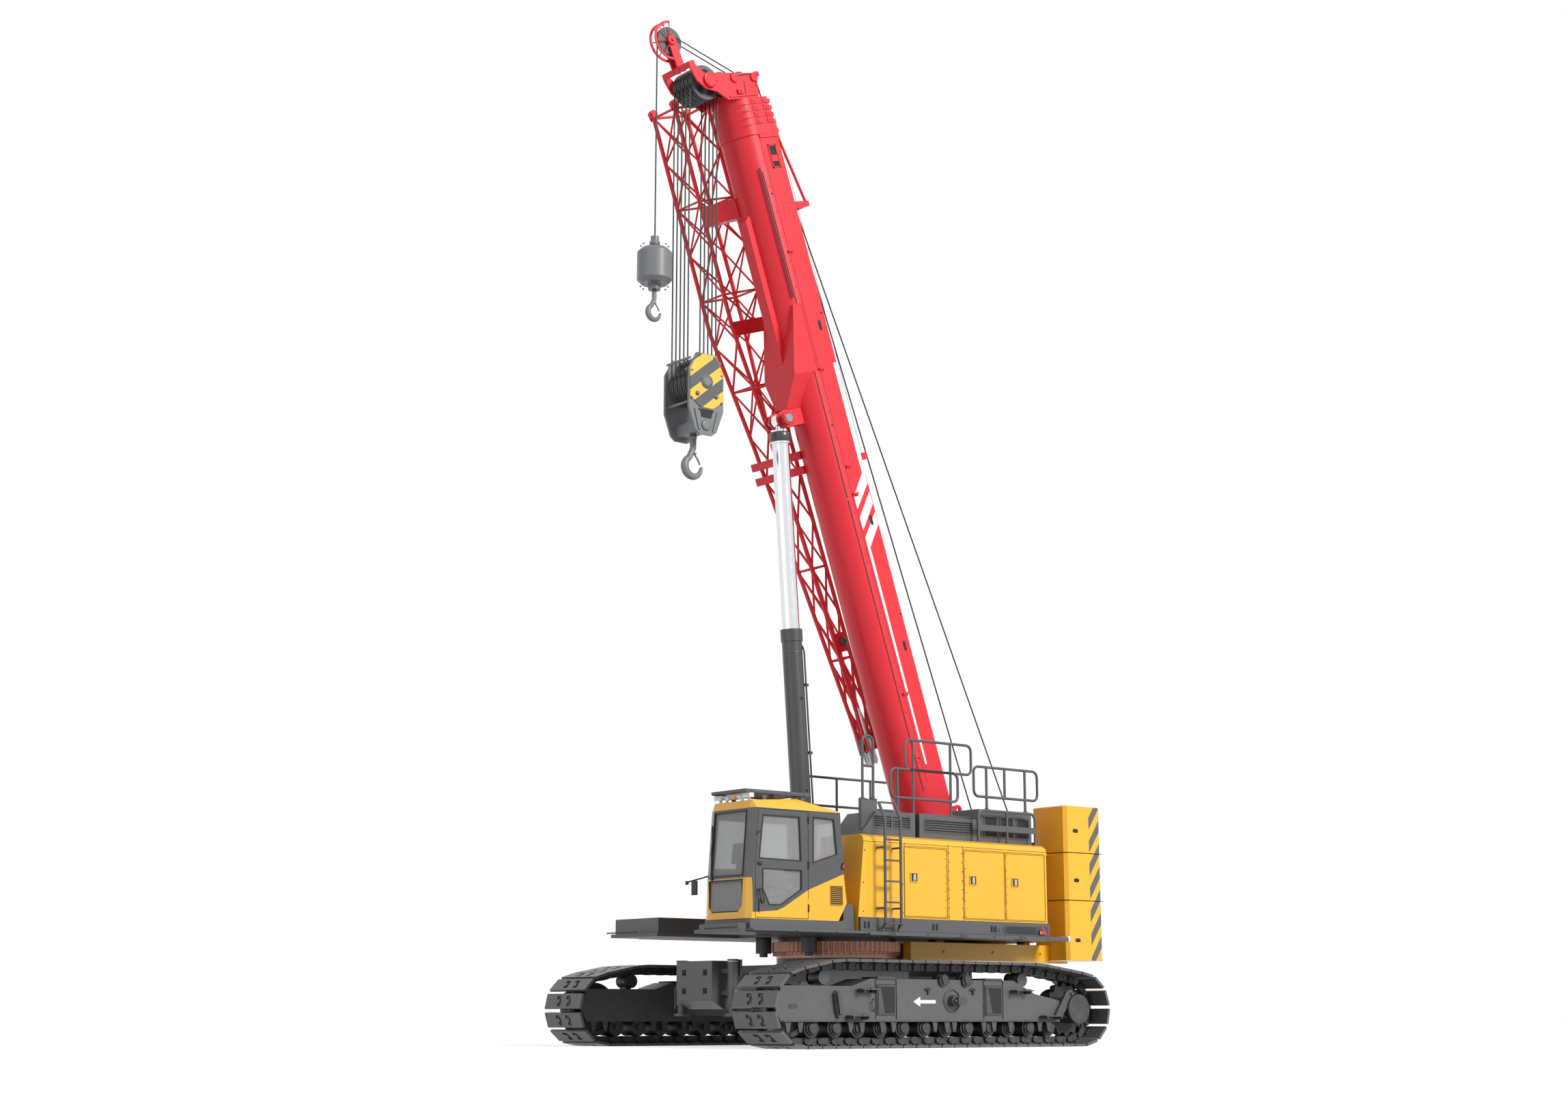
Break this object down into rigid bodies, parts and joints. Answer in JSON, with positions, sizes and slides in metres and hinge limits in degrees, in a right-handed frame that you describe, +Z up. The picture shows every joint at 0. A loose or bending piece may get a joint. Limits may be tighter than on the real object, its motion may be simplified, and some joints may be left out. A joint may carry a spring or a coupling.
{
  "type": "crawler crane",
  "caption": "Crawler crane with a telescopic boom on a slewing upper structure, a stowed lattice jib, a hook block, an overhaul weight and two wide tracks.",
  "frame": {"origin": "on the ground under the slewing axis", "axes": "+X to the front of the machine, +Y to its left, where the cab is, +Z up"},
  "size_m": [7.8713, 5.314, 14.9474],
  "materials": {
    "boom_red": "gloss paint",
    "yellow": "gloss paint",
    "dark_grey": "satin paint",
    "track_steel": "satin paint",
    "wheel_black": "satin paint",
    "ring_copper": "warm primer on turned steel",
    "steel_pin": "turned",
    "steel_dark": "satin paint",
    "engine_grey": "painted casting",
    "rail_grey": "satin paint",
    "cylinder_black": "satin paint",
    "rod_chrome": "polished",
    "rope_steel": "greased wire",
    "block_grey": "satin paint",
    "glass": "tinted glass",
    "seat_black": "matte",
    "lamp_amber": "gloss"
  },
  "bodies": {
    "undercarriage": {"carbody": "dark_grey", "carbody_weights": "dark_grey", "jack_cylinders": "dark_grey", "slew_ring": "ring_copper"},
    "left_crawler": {"left_side_frame": "dark_grey", "left_track": "track_steel", "left_track_wheels": "wheel_black"},
    "right_crawler": {"right_side_frame": "dark_grey", "right_track": "track_steel", "right_track_wheels": "wheel_black"},
    "superstructure": {"revolving_frame": "dark_grey", "frame_pins": "steel_pin", "decks": "dark_grey", "slew_drives": "dark_grey", "cab_shell": "yellow", "cab_glass": "glass", "cab_seat": "seat_black", "cab_supports": "dark_grey", "roof_guard": "dark_grey", "lamps": "lamp_amber", "engine_hood": "yellow", "engine_block": "engine_grey", "louvre_hood": "dark_grey", "right_housing": "yellow", "handrails": "rail_grey", "ladder": "rail_grey", "counterweight_tray": "yellow", "counterweight_blocks": "yellow"},
    "cab_door": {"cab_door": "yellow", "cab_door_glass": "glass"},
    "hood_door_front": {"hood_door_front": "yellow"},
    "hood_door_middle": {"hood_door_middle": "yellow"},
    "hood_door_rear": {"hood_door_rear": "yellow"},
    "main_winch": {"main_winch_drum": "steel_dark"},
    "aux_winch": {"aux_winch_drum": "steel_dark"},
    "boom": {"boom_base": "boom_red", "cylinder_clevis": "boom_red", "boom_keel": "boom_red", "jib": "boom_red", "jib_brackets": "boom_red"},
    "telescope_2": {"boom_section_2": "boom_red"},
    "telescope_3": {"boom_section_3": "boom_red"},
    "telescope_4": {"boom_section_4": "boom_red"},
    "telescope_5": {"boom_section_5": "boom_red", "boom_head": "boom_red", "head_sheaves": "steel_dark"},
    "lift_barrel": {"lift_cylinder_barrel": "cylinder_black"},
    "lift_rod": {"lift_cylinder_rod": "rod_chrome"},
    "main_falls": {"main_falls": "rope_steel"},
    "main_block": {"main_block": "block_grey", "block_sheaves": "steel_dark"},
    "main_hook": {"main_hook": "block_grey"},
    "aux_fall": {"aux_fall": "rope_steel"},
    "aux_weight": {"aux_ball": "block_grey"},
    "aux_hook": {"aux_hook": "block_grey"}
  },
  "joints": [
    {"name": "left_gauge", "type": "slide", "parent": "undercarriage", "child": "left_crawler", "axis": [0, -1, 0], "range_m": [0, 0.45]},
    {"name": "right_gauge", "type": "slide", "parent": "undercarriage", "child": "right_crawler", "axis": [0, 1, 0], "range_m": [0, 0.45]},
    {"name": "slew", "type": "hinge", "parent": "undercarriage", "child": "superstructure", "pos_m": [0, 0, 1.35], "axis": [0, 0, 1], "continuous": true},
    {"name": "cab_door_hinge", "type": "hinge", "parent": "superstructure", "child": "cab_door", "pos_m": [1.88, 1.6, 2.442], "axis": [0, 0, 1], "range_deg": [0, 95]},
    {"name": "hood_front_hinge", "type": "hinge", "parent": "superstructure", "child": "hood_door_front", "pos_m": [-0.766, 1.555, 2.29], "axis": [0, 0, 1], "range_deg": [0, 90]},
    {"name": "hood_middle_hinge", "type": "hinge", "parent": "superstructure", "child": "hood_door_middle", "pos_m": [-1.099, 1.555, 2.29], "axis": [0, 0, -1], "range_deg": [0, 90]},
    {"name": "hood_rear_hinge", "type": "hinge", "parent": "superstructure", "child": "hood_door_rear", "pos_m": [-1.939, 1.555, 2.29], "axis": [0, 0, -1], "range_deg": [0, 90]},
    {"name": "main_winch_spin", "type": "hinge", "parent": "superstructure", "child": "main_winch", "pos_m": [-2.85, 0, 2.48], "axis": [0, 1, 0], "continuous": true},
    {"name": "aux_winch_spin", "type": "hinge", "parent": "superstructure", "child": "aux_winch", "pos_m": [-3.7, 0, 2.76], "axis": [0, 1, 0], "continuous": true},
    {"name": "luff", "type": "hinge", "parent": "superstructure", "child": "boom", "pos_m": [-1.616, 0, 2.852], "axis": [0, -1, 0], "range_deg": [-71, 9]},
    {"name": "barrel_hinge", "type": "hinge", "parent": "superstructure", "child": "lift_barrel", "pos_m": [0.5753, 0, 2.1], "axis": [0, -1, 0], "range_deg": [-79.8, 10.3]},
    {"name": "rod_slide", "type": "slide", "parent": "lift_barrel", "child": "lift_rod", "axis": [0.0724, 0, 0.9974], "range_m": [-2.8, 0.36]},
    {"name": "telescope_2_slide", "type": "slide", "parent": "boom", "child": "telescope_2", "axis": [0.3256, 0, 0.9455], "range_m": [0, 8.7]},
    {"name": "telescope_3_slide", "type": "slide", "parent": "telescope_2", "child": "telescope_3", "axis": [0.3256, 0, 0.9455], "range_m": [0, 8.7]},
    {"name": "telescope_4_slide", "type": "slide", "parent": "telescope_3", "child": "telescope_4", "axis": [0.3256, 0, 0.9455], "range_m": [0, 8.7]},
    {"name": "telescope_5_slide", "type": "slide", "parent": "telescope_4", "child": "telescope_5", "axis": [0.3256, 0, 0.9455], "range_m": [0, 8.7]},
    {"name": "main_falls_hang", "type": "hinge", "parent": "telescope_5", "child": "main_falls", "pos_m": [2.7, 0, 14.07], "axis": [0, -1, 0], "range_deg": [-9.1, 71.1]},
    {"name": "main_hoist", "type": "slide", "parent": "main_falls", "child": "main_block", "axis": [0, 0, -1], "range_m": [-3.6, 5.8], "deforming": ["main_falls"]},
    {"name": "main_hook_swivel", "type": "hinge", "parent": "main_block", "child": "main_hook", "pos_m": [2.7, 0, 8.66], "axis": [0, 0, 1], "continuous": true},
    {"name": "aux_fall_hang", "type": "hinge", "parent": "telescope_5", "child": "aux_fall", "pos_m": [3.22, 0, 14.65], "axis": [0, -1, 0], "range_deg": [-9.1, 71.1]},
    {"name": "aux_hoist", "type": "slide", "parent": "aux_fall", "child": "aux_weight", "axis": [0, 0, -1], "range_m": [-2.55, 7.5], "deforming": ["aux_fall"]},
    {"name": "aux_hook_swivel", "type": "hinge", "parent": "aux_weight", "child": "aux_hook", "pos_m": [3.4263, 0, 10.7], "axis": [0, 0, 1], "continuous": true}
  ],
  "couplings": [
    {"joint": "barrel_hinge", "follows": "luff", "ratio": 1.121},
    {"joint": "rod_slide", "follows": "luff", "m_per_rad": 2.25},
    {"joint": "main_falls_hang", "follows": "luff", "ratio": -1},
    {"joint": "aux_fall_hang", "follows": "luff", "ratio": -1},
    {"joint": "telescope_3_slide", "follows": "telescope_2_slide", "ratio": 1},
    {"joint": "telescope_4_slide", "follows": "telescope_2_slide", "ratio": 1},
    {"joint": "telescope_5_slide", "follows": "telescope_2_slide", "ratio": 1}
  ]
}
